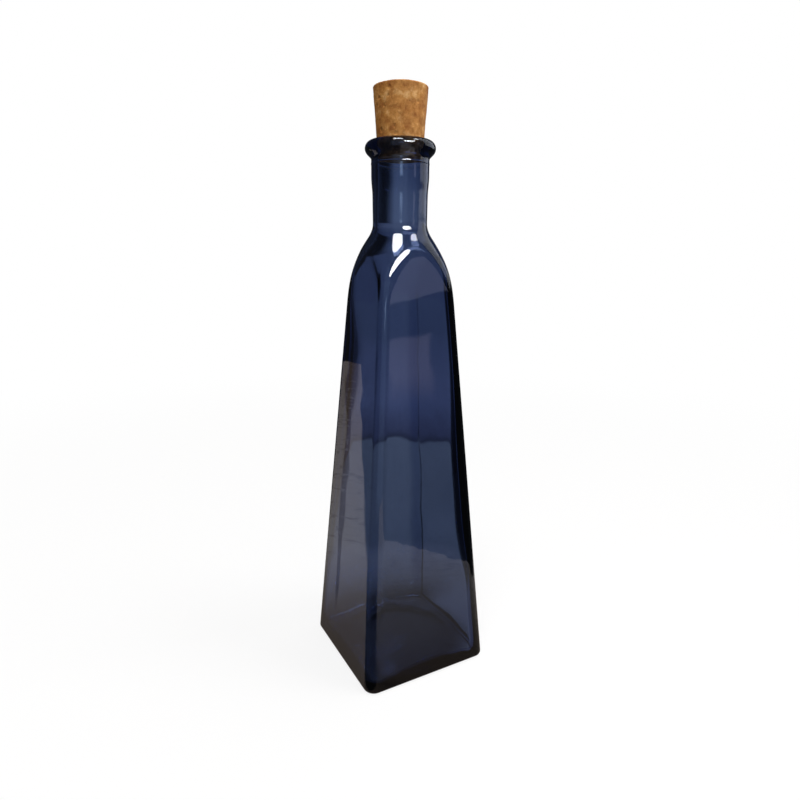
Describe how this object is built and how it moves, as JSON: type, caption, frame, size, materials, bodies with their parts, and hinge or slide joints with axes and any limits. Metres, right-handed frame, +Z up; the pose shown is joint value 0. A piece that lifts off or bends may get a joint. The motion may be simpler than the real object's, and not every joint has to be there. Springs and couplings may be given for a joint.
{
  "type": "corked glass bottle",
  "caption": "Tall square tapering glass bottle with arched shoulder, round neck and lip, closed by a tapered cork that pulls out.",
  "frame": {"origin": "on the surface the bottle stands on, under the middle of its base", "axes": "+Z up along the neck; the flat faces look along X and Y"},
  "size_m": [0.0598, 0.0598, 0.2446],
  "materials": {
    "blue_glass": "smooth moulded dark blue glass, glossy and see-through",
    "cork": "matt agglomerated cork, mottled tan and brown granules"
  },
  "bodies": {
    "bottle": {"glass_bottle": "blue_glass"},
    "stopper": {"cork_stopper": "cork"}
  },
  "joints": [
    {"name": "stopper_lift", "type": "slide", "parent": "bottle", "child": "stopper", "axis": [0, 0, 1], "range_m": [0, 0.045]}
  ]
}
